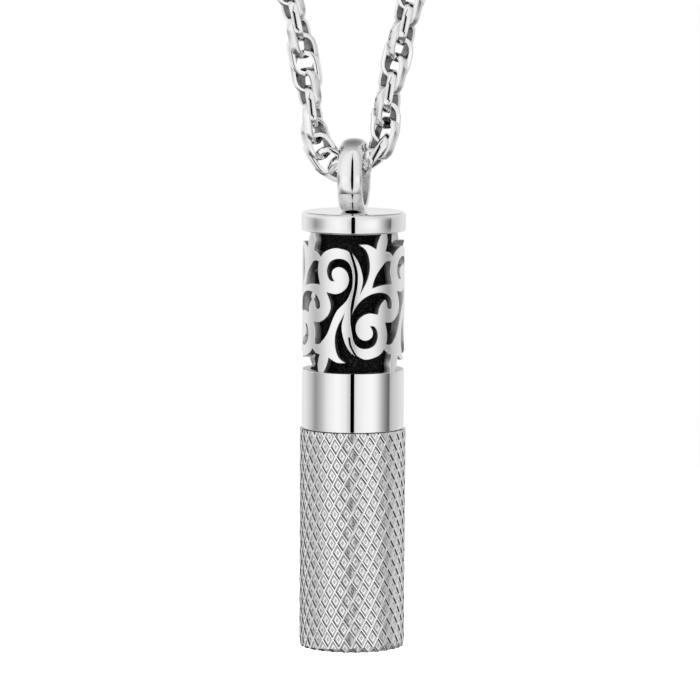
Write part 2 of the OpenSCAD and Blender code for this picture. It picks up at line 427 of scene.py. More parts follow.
@dataclass(frozen=True)
class Felt:
    """Rough black felt with brown specks."""

    name: str = "black_felt"
    base: tuple[float, float, float] = (0.0022, 0.002, 0.0019)
    speck: tuple[float, float, float] = (0.03, 0.025, 0.022)
    fibres: float = 5200.0
    relief: float = 0.9
    pile: float = 0.0002

    def material(self) -> Material:
        """Builds the material."""
        material, nodes = new_material(self.name)
        fibres = nodes.noise(nodes.coordinates("Object"), self.fibres, 6.0)
        nodes.surface(
            Roughness=1.0, Specular_IOR_Level=0.1, Sheen_Weight=0.03,
            Base_Color=nodes.ramp(fibres, [(0.48, self.base), (0.68, self.speck)]),
            Normal=nodes.bump(fibres, self.relief, self.pile),
        )
        return material


POLISHED = Steel("mirror_polish", (0.79, 0.79, 0.795), gloss=0.01, haze=0.02, relief=0.005)
CUT = Steel("cut_steel", (0.66, 0.66, 0.665), gloss=0.24, haze=0.4, relief=0.6)
SCROLL = Steel("scroll_steel", (0.84, 0.84, 0.845), gloss=0.28, haze=0.08, relief=0.03)
CHAIN_STEEL = Steel("bright_wire", (0.82, 0.82, 0.825), gloss=0.06, haze=0.06, relief=0.05)
# Dark steel for the links' inner faces: painted shade between the links, the same wire as the rest
PAINTED_SHADE_CHAIN_INSIDE = Steel("chain_inside_painted_shade", (0.3, 0.3, 0.31), gloss=0.25, haze=0.2, relief=0.1)
KNURLED = Steel("bright_knurl", (0.92, 0.92, 0.925), gloss=0.14, haze=0.1, relief=0.08)
PIT = Steel("knurl_pit", (0.6, 0.6, 0.605), gloss=0.24, haze=0.3, relief=0.5)
# Near-black steel on the knurl's walls along the left-climbing ridges: painted shade, not the steel's own
# colour
PAINTED_SHADE_FLANK = Steel("knurl_flank_painted_shade", (0.07, 0.07, 0.072), gloss=0.3, haze=0.3, relief=0.3)
FELT = Felt()


def dress(piece: Object, finishes: Iterable[Steel | Felt], slot: Slot, body: Body, *stands_for: str) -> None:
    """Gives a piece its finishes and its body, and hides the CAD nodes that it stands for.

    Args:
        piece: The finished piece.
        finishes: Its finishes, in the order of its faces' material numbers.
        slot: The record's slot of the main finish; not used.
        body: The body that it moves with.
        stands_for: Names of CAD nodes that it replaces.
    """
    numbers = [face.material_index for face in piece.data.polygons]
    piece.data.materials.clear()
    for finish in finishes:
        piece.data.materials.append(finish.material())
    for face, number in zip(piece.data.polygons, numbers):
        face.material_index = number
    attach(piece, body.value)
    if stands_for:
        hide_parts(*stands_for)
    log.info("%s: %d faces on %s", piece.name, len(piece.data.polygons), body.value)


@dataclass
class CapWithBail:
    """Round cap with the bail ring soldered on its top face."""

    radius: float = 5.0
    height: float = STACK.cap
    top_round: float = 0.4
    top_round_steps: int = 6
    lower_round: float = 0.15
    lower_round_steps: int = 3
    socket_radius: float = 4.6
    socket_depth: float = 1.1
    bail_radius: float = 3.67
    bail_hole_radius: float = 2.8
    bail_width: float = 2.35
    crown = (
        (0, 0), (0.18, 0.008), (0.34, 0.026), (0.5, 0.05), (0.62, 0.076), (0.75, 0.116), (0.88, 0.175),
        (1.0, 0.253), (1.09, 0.331), (1.175, 0.426),
    )
    bail_sunk: float = 0.3
    bail_turn: float = 8.0
    steps: int = 144
    merge: float = 1e-4
    crease: float = 35

    def cap(self) -> Object:
        """Turns the cap with its socket."""
        socket_top = self.socket_depth - self.height
        section = [
            (0, 0), (self.radius, 0), (self.radius, -self.height),
            (self.socket_radius, -self.height), (self.socket_radius, socket_top), (0, socket_top),
        ]
        bm = turned(section, self.steps)
        soften(bm, ring_edges(bm, self.radius, 0), self.top_round, self.top_round_steps)
        soften(bm, ring_edges(bm, self.radius, -self.height), self.lower_round, self.lower_round_steps)
        return as_piece(bm, "cap_and_bail")

    def bail_section(self) -> list[Vector]:
        """Section of the bail's band, across its width, from its hole to its crown.

        Returns:
            Points with x across the band and z out from the ring's centre.
        """
        half = self.bail_width / 2
        right_side = [Vector((aside, 0, self.bail_radius - drop)) for aside, drop in self.crown]
        left_side = [Vector((-point.x, 0, point.z)) for point in right_side[:0:-1]]
        crown = [*left_side, *right_side]
        lip = 0.1
        return [
            Vector((half, 0, self.bail_hole_radius + lip)), Vector((half - lip, 0, self.bail_hole_radius)),
            Vector((-half + lip, 0, self.bail_hole_radius)), Vector((-half, 0, self.bail_hole_radius + lip)),
            *crown,
        ]

    def bail(self) -> Object:
        """Spins the bail's band round its own axis and turns it on the cap."""
        bm = bmesh.new()
        geom = chain_of_verts(bm, self.bail_section(), closed=True)
        bmesh.ops.spin(
            bm, geom=geom, cent=(0, 0, 0), axis=(1, 0, 0), angle=FULL_TURN, steps=self.steps, use_merge=True
        )
        heal(bm)
        centre = Vector((0, 0, self.bail_radius - self.bail_sunk))
        turn = Matrix.Rotation(math.radians(-self.bail_turn), 4, "Z")
        bm.transform(Matrix.Translation(centre) @ turn)
        return as_piece(bm, "bail")

    def mark_hole(self, bm: BMesh) -> None:
        """Marks the faces inside the bail's hole, which the chain has rubbed less bright."""
        centre = Vector((0, 0, CAP_TOP + self.bail_radius - self.bail_sunk)) * MM
        axis = Matrix.Rotation(math.radians(-self.bail_turn), 3, "Z") @ Vector((1, 0, 0))
        slack = 0.02
        for face in bm.faces:
            arm = face.calc_center_median() - centre
            arm -= axis * arm.dot(axis)
            in_hole = arm.length < (self.bail_hole_radius + slack) * MM
            face.material_index = int(in_hole and face.normal.dot(arm) < 0)

    def build(self) -> Object:
        """Solders the bail to the cap and dresses both."""
        piece = fused(self.cap(), self.bail())
        bm = bmesh.new()
        bm.from_mesh(piece.data)
        bmesh.ops.remove_doubles(bm, verts=bm.verts, dist=self.merge * MM)
        shade(bm, self.crease)
        self.mark_hole(bm)
        bm.to_mesh(piece.data)
        bm.free()
        weigh_normals(piece, 100)
        dress(piece, [POLISHED, SCROLL], Slot.POLISHED, Body.PENDANT, "cap_with_bail")
        return piece


@dataclass
class ScrollTube:
    """Tube pierced with scrollwork, with its plain collar below. Outlines are drawn on the unrolled tube:
    the first number runs round it to the right, the second up, both from a motif's centre. The whole
    pattern is shifted a little to the left and leans."""

    radius: float = 4.9
    bore: float = 4.1
    motifs: int = 4
    motif_z: float = -STACK.cap - STACK.pierced / 2
    tube_top: float = STACK.pierced / 2
    end_ring_radius: float = 4.55
    end_ring_top: float = -0.85
    edge_break: float = 0.05
    edge_break_steps: int = 2
    merge: float = 0.00005
    shift: float = -0.11
    lean: float = 0.012
    window_top = 6.7
    tube_bottom = -STACK.pierced / 2 - STACK.collar
    steps: int = 72
    curve_steps: int = 3
    crease: float = 25

    bulb = [
        (-2.6, 1.05), (-1.7, 0.9), (-1, 1.12), (-0.54, 1.6), (-0.35, 2.26), (-0.5, 2.95),
        (-0.9, 3.4), (-1.45, 3.52), (-1.95, 3.25), (-2.1, 2.85), (-2, 2.45), (-1.8, 2.15),
    ]
    scroll_hollow = [
        (-1.8, 2.15), (-2.2, 2.2), (-2.5, 2.6), (-2.6, 3.2), (-2.3, 3.93),
        (-1.54, 4.28), (-0.73, 4.17), (-0.2, 3.6), (0, 2.7),
    ]
    stem_side = [
        (0, 2.7), (-0.03, 1.6), (-0.54, 0.35), (-1.44, -0.6), (-1.96, -1.6), (-2.5, -2.95), (-3.3, -3.9),
    ]
    foot = [(-3.3, -3.9), (-3.7, -4.02), (-4.1, -3.95)]
    scroll_back = [(-4.1, -3.95), (-4, -3.2), (-4.07, -2.6), (-4.28, -1.85)]
    curl_back = [(-4.28, -1.85), (-3.33, -1.84), (-2.4, -1.14), (-2.12, -0.14), (-2.6, 1.05)]
    arm_under = [
        (-0.08, -1.1), (0.35, -0.3), (0.84, 0.29), (1.45, 0.71), (2.2, 0.98), (3.05, 1), (3.8, 0.72),
        (4.25, 0.15), (4.32, -0.4), (4.05, -0.62), (3.7, -0.42), (3.58, 0.05), (3.4, 0.36),
    ]
    hook_back = [(3.4, 0.36), (2.97, 0.02), (2.7, -0.45), (2.6, -1.05)]
    arm_over = [(4.28, 1.74), (3.4, 1.76), (2.7, 1.7), (1.95, 1.5)]
    leaf_side = [(1.95, 1.5), (2.12, 2.2), (2.5, 2.95), (3.3, 3.9)]
    strut_right_side = [(-4.23, window_top), (-4.12, 5.9), (-4.35, 4.95)]
    flare = [(-4.35, 4.95), (-3.8, 4.82), (-3.35, 4.42)]
    scroll_top = [(-3.35, 4.42), (-2.8, 4.97), (-1.75, 5.32), (-0.65, 5.13), (-0.36, 4.93)]
    blade_side = [(-0.12, 4.88), (0.45, 4.15), (0.85, 3.13), (1, 2.1), (0.74, 0.98)]
    leaf_under = [(0.74, 0.98), (1.34, 2.14), (1.62, 3.2), (1.55, 4.29), (1.2, 5.15), (0.5, 5.66)]
    leaf_top = [(0.5, 5.66), (1.4, 5.66), (2.29, 5.2)]
    strut_left_side = [(2.29, 5.2), (2.5, 6), (2.88, window_top)]
    slit_left = [
        (-0.36, 4.93), (-0.05, 4), (0.17, 3.1), (0.22, 2.3), (0.13, 1.3), (-0.05, 0.4),
        (-0.16, -0.4), (-0.16, -1.3),
    ]
    slit_right = [
        (-0.08, -1.1), (0.12, -0.4), (0.24, 0.4), (0.42, 1.3), (0.5, 2.3), (0.45, 3.1),
        (0.2, 4), (-0.12, 4.88),
    ]
    scroll_low = [(3.35, -4.42), (2.8, -4.97), (1.75, -5.32), (1.1, -5.28), (0.55, -4.97)]
    nick_far = [(0.55, -4.97), (0.17, -4.35), (-0.05, -3.8), (-0.15, -3.2)]
    nick_near = [(-0.33, -3.2), (-0.25, -3.8), (-0.03, -4.35), (0.36, -5.02)]
    neck_low = [(0, -2.7), (-0.14, -1.9), (-0.16, -1.3)]
    crown_after_nick = [(0.36, -5.02), (0.2, -4.86), (0.05, -4.7)]
    seam = [
        (3.17, 6.9), (3.17, 6.6), (3.0, 5.6), (3.0, 4.6), (3.4, 4.25), (4.5, 4.2), (4.65, 1.5), (4.8, 0),
        (4.6, -0.7), (4.0, -1.25), (3.1, -1.5), (3.05, -2.3), (3.1, -3.5), (3.3, -4.15), (4.4, -4.3),
        (4.6, -4.8), (4.5, -5.5), (4.5, -6.7), (4.5, tube_bottom),
    ]

    def girth(self) -> float:
        """Length of the unrolled tube."""
        return FULL_TURN * self.radius

    def smooth(self, edge: list[Point]) -> list[Point]:
        """Catmull-Rom curve through the points of one edge.

        Args:
            edge: The points.

        Returns:
            Points of the curve, without its last one.
        """
        curve = []
        last = len(edge) - 1
        for i in range(last):
            a, b = Vector(edge[max(i - 1, 0)]), Vector(edge[i])
            c, d = Vector(edge[i + 1]), Vector(edge[min(i + 2, last)])
            for step in range(self.curve_steps):
                t = step / self.curve_steps
                bend = 2 * b + (c - a) * t + (2 * a - 5 * b + 4 * c - d) * t * t
                curve.append(tuple(0.5 * (bend + (3 * b - a - 3 * c + d) * t ** 3)))
        return curve

    def outline(self, *edges: list[Point]) -> list[Point]:
        """One closed outline from edges that meet in corners."""
        return [point for edge in edges for point in self.smooth(edge)]

    @staticmethod
    def half_turn(edge: list[Point]) -> list[Point]:
        """The same edge on the other half of the motif."""
        return [(-s, -z) for s, z in edge]

    @staticmethod
    def back(edge: list[Point]) -> list[Point]:
        """The same edge walked the other way."""
        return edge[::-1]

    def windows(self) -> list[list[Point]]:
        """Outlines of one motif's four windows.

        Returns:
            Closed outlines, which don't touch one another.
        """
        turn, back = self.half_turn, self.back
        past_end = [self.strut_left_side[-1], self.strut_right_side[0]]
        scroll = self.outline(
            self.bulb, self.scroll_hollow, self.stem_side, self.foot, self.scroll_back, self.curl_back
        )
        leaf = self.outline(self.leaf_side, turn(self.foot), turn(self.scroll_back), self.arm_over)
        crown = self.outline(
            self.strut_right_side, self.flare, self.scroll_top, self.slit_left,
            back(self.neck_low), back(turn(self.scroll_hollow)), back(turn(self.bulb)),
            back(self.hook_back), back(self.arm_under), self.slit_right,
            self.blade_side, self.leaf_under, self.leaf_top, self.strut_left_side,
            past_end,
        )
        lower = self.outline(
            turn(self.strut_right_side), turn(self.flare), self.scroll_low,
            self.nick_far, [self.nick_far[-1], self.nick_near[0]], self.nick_near, self.crown_after_nick,
            turn(self.blade_side), turn(self.leaf_under), turn(self.leaf_top), turn(self.strut_left_side),
            turn(past_end),
        )
        return [scroll, leaf, crown, lower]

    def flat_sheet(self) -> BMesh:
        """Unrolled wall with its windows, as a flat sheet of no thickness.

        Returns:
            The sheet, with x round the tube and z up.
        """
        bm = bmesh.new()
        pitch = self.girth() / self.motifs
        start = self.girth() - pitch
        right = [(s + start, z) for s, z in self.seam]
        left = [(s - pitch, z) for s, z in self.back(self.seam)]
        outlines = [left + right]
        for motif in range(self.motifs):
            outlines += [[(s + motif * pitch, z) for s, z in window] for window in self.windows()]
        for points in outlines:
            chain_of_verts(bm, [Vector((s, 0, z)) for s, z in points], closed=True)
        bmesh.ops.triangle_fill(bm, use_beauty=True, edges=bm.edges, normal=(0, -1, 0))
        cut(bm, (0, 0, self.tube_top), Z_AXIS, clear=True)
        return bm

    @staticmethod
    def place(s: float, z: float) -> Point:
        """Rounded place on the unrolled tube."""
        digits = 3
        return round(s, digits), round(z, digits)

    def seam_places(self) -> set[Point]:
        """Rounded places of the points on the two sides of the seam, with those where its end is cut off."""
        pitch = self.girth() / self.motifs
        shifts = (self.girth() - pitch, -pitch)
        points = list(self.seam)
        for (s, z), (next_s, next_z) in zip(self.seam, self.seam[1:]):
            if (z - self.tube_top) * (next_z - self.tube_top) < 0:
                share = (self.tube_top - z) / (next_z - z)
                points.append((s + share * (next_s - s), self.tube_top))
        return {self.place(s + shift, z) for s, z in points for shift in shifts}

    def wall(self) -> BMesh:
        """Gives the sheet its thickness, breaks its sharp edges and rolls it up.

        Returns:
            The tube's wall, closed at the seam.
        """
        bm = self.flat_sheet()
        thickness = self.radius - self.bore
        made = bmesh.ops.extrude_face_region(bm, geom=bm.faces[:], use_keep_orig=True)
        bmesh.ops.translate(bm, verts=only(BMVert, made["geom"]), vec=(0, thickness, 0))
        places = self.seam_places()

        def on_seam(vert: BMVert) -> bool:
            """True for a vertex on either side of the seam."""
            return self.place(vert.co.x, vert.co.z) in places

        walls = [f for f in bm.faces if abs(f.normal.y) < 0.5]
        lower_end = min(vert.co.z for vert in bm.verts) + 1e-4
        seam_walls = [
            face for face in walls
            if all(on_seam(vert) for vert in face.verts) and any(vert.co.z > lower_end for vert in face.verts)
        ]
        bmesh.ops.delete(bm, geom=seam_walls, context="FACES")
        bmesh.ops.recalc_face_normals(bm, faces=bm.faces)
        outer_edges = [
            edge for edge in bm.edges
            if all(abs(vert.co.y) < 1e-6 for vert in edge.verts) and edge.calc_face_angle(0.0) > 1.0
        ]
        soften(bm, outer_edges, self.edge_break, self.edge_break_steps)
        first = -self.girth()
        for step in range(2 * self.steps + 1):
            cut(bm, (first + step * self.girth() / self.steps, 0, 0), (1, 0, 0))
        for vert in bm.verts:
            angle = (vert.co.x + self.shift + self.lean * vert.co.z) / self.radius
            radius = self.radius - vert.co.y
            vert.co = Vector((radius * math.sin(angle), -radius * math.cos(angle), vert.co.z + self.motif_z))
        heal(bm, self.merge)
        return bm

    def add_end_ring(self, bm: BMesh) -> None:
        """Turns the ring at the tube's upper end, which sits in the cap's socket.

        Args:
            bm: The tube's mesh, which takes the ring in.
        """
        overlap = 0.05
        low = self.motif_z + self.tube_top - overlap
        section = [
            (self.bore, low), (self.end_ring_radius, low), (self.end_ring_radius, self.end_ring_top),
            (self.bore, self.end_ring_top), (self.bore, low),
        ]
        mesh = as_mesh(turned(section, self.steps), "end_ring")
        bm.from_mesh(mesh)
        bpy.data.meshes.remove(mesh)

    @staticmethod
    def mark_cut_faces(bm: BMesh) -> None:
        """Gives the sawn walls and the bore the second finish, and the scrolls' faces the third."""
        collar, sawn, scrolls = 0, 1, 2
        polished_lean = 0.25
        collar_top = -STACK.cap - STACK.pierced
        for face in bm.faces:
            centre = face.calc_center_median()
            facing = face.normal.dot(outward(centre))
            outer = scrolls if centre.z > collar_top else collar
            face.material_index = outer if facing > polished_lean else sawn

    def build(self) -> Object:
        """Makes the tube and dresses it."""
        bm = self.wall()
        self.add_end_ring(bm)
        bm.normal_update()
        self.mark_cut_faces(bm)
        shade(bm, self.crease)
        piece = as_piece(bm, "scroll_tube")
        set_radial_normals(piece)
        dress(piece, [POLISHED, CUT, SCROLL], Slot.POLISHED, Body.PENDANT, "pierced_tube")
        return piece


@dataclass
class ScentCore:
    """Black felt plug inside the pierced tube."""

    radius: float = 3.62
    top: float = -0.8
    above_base: float = 4.55
    bottom: float = STACK.base_top() + above_base
    around: int = 160
    rows: int = 150
    fuzz: float = 0.12
    coarse: float = 2.2
    fine: float = 6.0
    fine_share: float = 0.7
    crease: float = 50

    def build(self) -> Object:
        """Turns the plug, roughs its skin and dresses it."""
        rise = (self.top - self.bottom) / self.rows
        side = [(self.radius, self.bottom + row * rise) for row in range(self.rows + 1)]
        bm = turned([(0, self.bottom), *side, (0, self.top)], self.around)
        for vert in bm.verts:
            reach = polar_radius(vert.co)
            if reach < self.radius / 2:
                continue
            lump = noise.noise(vert.co * self.coarse) + self.fine_share * noise.noise(vert.co * self.fine)
            vert.co = at_radius(vert.co, reach + self.fuzz * lump, vert.co.z)
        shade(bm, self.crease)
        piece = as_piece(bm, "felt_core")
        dress(piece, [FELT], Slot.FELT, Body.PENDANT, "scent_core")
        return piece


@dataclass
class KnurledCase:
    """Knurled lower case. Two sets of ridges wind round it and cross. Each diamond between them is a pit with
    steep walls, and a shallow matt floor round a bright plate with a speck in its middle. The walls along
    the ridges that climb to the left, and that side of each speck, are near black: painted shade."""

    radius: float = 5.1
    top: float = STACK.base_top()
    height: float = STACK.base
    edge_round: float = 0.3
    right_ridges: int = 29
    left_ridges: int = 27
    right_rise: float = 2.15
    left_rise: float = 1.64
    first_turn: float = -0.0285
    first_height: float = 0.676
    crest_half: float = 0.07
    crest_drop: float = 0.02
    wall_width: float = 0.1
    wall_drop: float = 0.09
    floor_width: float = 0.09
    floor_drop: float = 0.015
    plate_width: float = 0.1
    plate_drop: float = 0.01
    speck_rim: float = 0.045
    speck_drop: float = 0.04
    spigot_radius: float = 4.05
    spigot_height: float = 4.2
    reservoir_radius: float = 3.0
    reservoir_floor: float = 2.2
    merge: float = 0.001
    crease: float = 6

    def crossing(self, right: float, left: float) -> tuple[float, float]:
        """Turn in radians and height from the top edge, where one ridge of each set crosses another."""
        per_turn = self.right_rise * self.right_ridges + self.left_rise * self.left_ridges
        turn = (self.right_rise * right + self.left_rise * left) / per_turn
        return FULL_TURN * turn, self.left_rise * (left - self.left_ridges * turn)

    def lattice(self) -> BMesh:
        """Diamonds all round the case, from above its top edge to below its lower edge.

        Returns:
            The open skin, on the radius of the ridges.
        """
        bm = bmesh.new()
        right_turn, right_step = self.crossing(1, 0)
        left_turn, left_step = self.crossing(0, 1)
        past = 2
        verts = []
        for right, left in ((0, 0), (1, 0), (1, 1), (0, 1)):
            turn, height = self.crossing(right - past, left)
            turn += self.first_turn
            height += self.first_height + self.top
            spot = (self.radius * math.sin(turn), -self.radius * math.cos(turn), height)
            verts.append(bm.verts.new(spot))
        bm.faces.new(verts)
        reach = self.height + left_step * self.left_ridges
        down = math.ceil(reach / -right_step) + 2 * past
        repeats = ((right_turn, right_step, down), (left_turn, left_step, self.left_ridges - 1))
        for turn, step, count in repeats:
            bmesh.ops.spin(
                bm, geom=everything(bm), cent=(0, 0, 0), axis=Z_AXIS, dvec=(0, 0, step), angle=turn * count,
                steps=count, use_duplicate=True,
            )
        margin = 1.5
        outside = [
            face for face in bm.faces
            if not -margin < self.top - face.calc_center_median().z < self.height + margin
        ]
        bmesh.ops.delete(bm, geom=outside, context="FACES")
        heal(bm, self.merge)
        sample = bm.faces[:][0]
        if sample.normal.dot(outward(sample.calc_center_median())) < 0:
            bmesh.ops.reverse_faces(bm, faces=bm.faces)
        return bm

    def cut_pits(self, bm: BMesh) -> None:
        """Sinks each diamond in steps: the crest's side, the wall, the floor, its plate and the speck."""
        # Finish 1 paints shade: near black on the walls and speck sides along the left-climbing ridges
        bright, painted_shade, matt = 0, 1, 2
        pits = bm.faces[:]
        for width, drop, left, right in (
            (self.crest_half, self.crest_drop, bright, bright),
            (self.wall_width, self.wall_drop, painted_shade, matt),
            (self.floor_width, self.floor_drop, matt, matt),
            (self.plate_width, self.plate_drop, bright, bright),
            (self.speck_rim, self.speck_drop, painted_shade, matt),
        ):
            made = bmesh.ops.inset_individual(
                bm, faces=pits, thickness=width, depth=-drop, use_even_offset=True
            )
            for face in made["faces"]:
                face.material_index = left if self.along_left_ridge(face) else right
        for face in pits:
            face.material_index = matt

    @staticmethod
    def along_left_ridge(face: BMFace) -> bool:
        """True for a wall along a ridge that climbs to the left."""
        centre = face.calc_center_median()
        to_right = Vector((-centre.y, centre.x, 0)).normalized()
        return face.normal.dot(to_right) * face.normal.z > 0

    def round_lower_edge(self, bm: BMesh) -> None:
        """Bends the skin round the case's lower edge and trims both ends."""
        start = self.top - self.height + self.edge_round
        reach = self.edge_round * math.pi / 2
        for height, side in ((self.top, 1), (start - reach, -1)):
            cut(bm, (0, 0, height), (0, 0, side), clear=True)
        for vert in bm.verts:
            below = start - vert.co.z
            if below <= 0:
                continue
            turn = below / self.edge_round
            bend = self.edge_round - (self.radius - polar_radius(vert.co))
            new_radius = self.radius - self.edge_round + bend * math.cos(turn)
            vert.co = at_radius(vert.co, new_radius, start - bend * math.sin(turn))

    def close(self, bm: BMesh) -> None:
        """Closes the bottom, and adds the shoulder, the spigot and the reservoir to the top."""
        thread_pitch, thread_depth, threads = 0.55, 0.1, 6
        groove = ((0.18, thread_depth), (0.3, thread_depth), (0.48, 0), (thread_pitch, 0))
        low = self.top + 0.45
        rings = [(self.spigot_radius, self.top), (self.spigot_radius, low)]
        for turn in range(threads):
            base = low + turn * thread_pitch
            rings += [(self.spigot_radius - depth, base + rise) for rise, depth in groove]
        lead_in = 0.15
        spigot_top = self.top + self.spigot_height
        rings += [
            (self.spigot_radius, spigot_top - lead_in), (self.spigot_radius - lead_in, spigot_top),
            (self.reservoir_radius, spigot_top),
            (self.reservoir_radius, self.top - self.height + self.reservoir_floor),
            (0, self.top - self.height + self.reservoir_floor),
        ]
        self.carry_on(bm, self.top, rings)
        bottom = min(vert.co.z for vert in bm.verts)
        flat = self.top - self.height
        rim = self.radius - self.edge_round
        foot, slope_end, recess = 0.3, 0.45, 0.08
        self.carry_on(bm, bottom, [(rim - foot, flat), (rim - slope_end, flat + recess), (0, flat + recess)])

    def carry_on(self, bm: BMesh, height: float, rings: list[Point]) -> None:
        """Carries an open end on through circles to a closed one.

        Args:
            bm: The mesh with the open end.
            height: Height of the open end.
            rings: Radius and height of each circle in turn.
        """
        slack = 0.35
        edges = [e for e in bm.edges if e.is_boundary and abs(e.verts[0].co.z - height) < slack]
        for radius, level in rings:
            made = bmesh.ops.extrude_edge_only(bm, edges=edges)["geom"]
            edges = only(BMEdge, made)
            for vert in {vert for edge in edges for vert in edge.verts}:
                vert.co = at_radius(vert.co, radius, level)
        bmesh.ops.remove_doubles(bm, verts=list({v for e in edges for v in e.verts}), dist=self.merge)

    def build(self) -> Object:
        """Cuts the knurl, closes the case and dresses it."""
        bm = self.lattice()
        self.cut_pits(bm)
        self.round_lower_edge(bm)
        self.close(bm)
        bmesh.ops.recalc_face_normals(bm, faces=bm.faces)
        shade(bm, self.crease)
        crest_slack = 0.004
        for edge in bm.edges:
            if all(polar_radius(vert.co) > self.radius - crest_slack for vert in edge.verts):
                edge.smooth = True
        piece = as_piece(bm, "knurled_case")
        dress(piece, [KNURLED, PAINTED_SHADE_FLANK, PIT], Slot.KNURLED, Body.BASE, "knurled_base")
        return piece


@dataclass(frozen=True)
class Stretch:
    """Part of the rope of links: how far apart its links are, and how far each is rolled from the last."""

    pitch: float
    roll: float


@dataclass
class RopeChain:
    """Rope chain of oval links of flat wire, each rolled on from the last, along the loop's route. Route
    points are millimetres in the plane of X and Z. Near the pendant one link of each strand stands edge-on
    to the viewer."""

    half_length: float = 2.14
    half_width: float = 1.43
    wire: float = 0.45
    band: float = 0.84
    chamfer: float = 0.1
    arc_steps: int = 7
    end_reach: float = 10.6
    right_edge_on: float = -240.41
    bail_edge_on: float = -246.3
    left_edge_on: float = -242.02
    stretches = (Stretch(1.66, 45.0), Stretch(1.66, 45.0), Stretch(1.66, 30.0), Stretch(1.69, 36.0))

    right_strand = [
        (10.1, 2.6), (16, 1.9), (21.5, 0), (26.5, -3), (31, -7.2), (34.6, -12.4), (37.2, -18.4),
        (38.6, -25), (38.9, -32), (38.3, -42), (36.8, -56), (34.3, -74), (30.9, -95), (26.8, -118),
        (22, -143), (16.8, -170), (10.9, -201), (5.25, -232), (4.1, -237), (3.25, -241),
    ]
    bend = [
        (3.0, -243.3), (2.88, -244.9), (2.06, -246.45), (0.65, -247.55), (-0.9, -247.85), (-2.25, -247.3),
        (-3.2, -246.15), (-3.75, -244.6),
    ]
    left_strand = [
        (-10.1, 2.6), (-16, 1.9), (-21.5, 0), (-26.5, -3), (-31, -7.2), (-34.7, -12.4), (-37.4, -18.4),
        (-38.9, -25), (-39.2, -32), (-38.8, -42), (-37.6, -56), (-35.6, -74), (-32.8, -95), (-29.2, -118),
        (-24.8, -143), (-19.6, -170), (-13.2, -201), (-6, -232), (-4.9, -237), (-4.1, -242),
    ]

    def route(self) -> list[Vector]:
        """Fine points along the loop, from the right end down, round the bend and up the left strand.

        Returns:
            Points a small step apart.
        """
        knots = [Vector((x, 0, z)) for x, z in [*self.right_strand, *self.bend, *self.left_strand[::-1]]]
        gaps = [(b - a).length for a, b in zip(knots, knots[1:])]
        slopes = [(b - a) / gap for a, b, gap in zip(knots, knots[1:], gaps)]
        lean = [slopes[0]]
        for before, after, gap, next_gap in zip(slopes, slopes[1:], gaps, gaps[1:]):
            lean.append((before * next_gap + after * gap) / (gap + next_gap))
        lean.append(slopes[-1])
        fine = []
        steps = 24
        for i, gap in enumerate(gaps):
            reach = gap / 3
            curve = interpolate_bezier(
                knots[i], knots[i] + lean[i] * reach, knots[i + 1] - lean[i + 1] * reach, knots[i + 1], steps
            )
            fine += curve[:-1]
        return [*fine, knots[-1]]

    def wire_section(self) -> list[Vector]:
        """Section of the flat wire at the link's side: its outer corners are chamfered.

        Returns:
            Corners in the plane of X and Y, in order round the wire.
        """
        middle = self.half_width - self.wire / 2
        half_wire, half_band = self.wire / 2, self.band / 2
        rise = self.half_length - self.half_width
        outer, inner, shoulder = middle + half_wire, middle - half_wire, middle + half_wire - self.chamfer
        corners = [(outer, half_band - self.chamfer), (shoulder, half_band), (inner, half_band)]
        corners += [(x, -y) for x, y in corners[::-1]]
        return [Vector((x, y, rise)) for x, y in corners]

    def base_link(self) -> BMesh:
        """One oval link, flat in the plane of X and Z, long in Z.

        Returns:
            The closed link.
        """
        bm = bmesh.new()
        rise = self.half_length - self.half_width
        geom = chain_of_verts(bm, self.wire_section(), closed=True)
        bmesh.ops.spin(
            bm, geom=geom, cent=(0, 0, rise), axis=(0, 1, 0), angle=-math.pi, steps=self.arc_steps,
            use_merge=False,
        )
        turned_over = Matrix.Rotation(math.pi, 4, "Y")
        copy = bmesh.ops.duplicate(bm, geom=everything(bm))["geom"]
        bmesh.ops.transform(bm, matrix=turned_over, verts=only(BMVert, copy))
        for side in (1, -1):
            rims = [
                edge for edge in bm.edges
                if edge.is_boundary and all(vert.co.x * side > 0 for vert in edge.verts)
            ]
            bmesh.ops.bridge_loops(bm, edges=rims)
        heal(bm)
        self.sharpen(bm)
        return bm

    def sharpen(self, bm: BMesh) -> None:
        """Smooth faces, with the inner edges of the wire kept sharp and the inner faces marked for the dark
        steel that paints shade between the links.
        """
        rise = self.half_length - self.half_width
        inner = self.half_width - self.wire
        slack = 0.06

        def on_inner_side(vert: BMVert) -> bool:
            """True for a vertex on the inside of the link."""
            return math.hypot(vert.co.x, max(abs(vert.co.z) - rise, 0.0)) < inner + slack

        for face in bm.faces:
            face.smooth = True
            # Inner faces take the second, dark finish: painted shade between the links
            face.material_index = int(all(on_inner_side(vert) for vert in face.verts))
        for edge in bm.edges:
            a, b = edge.verts
            runs_along = abs(a.co.y - b.co.y) < slack
            edge.smooth = not (runs_along and on_inner_side(a) and on_inner_side(b))

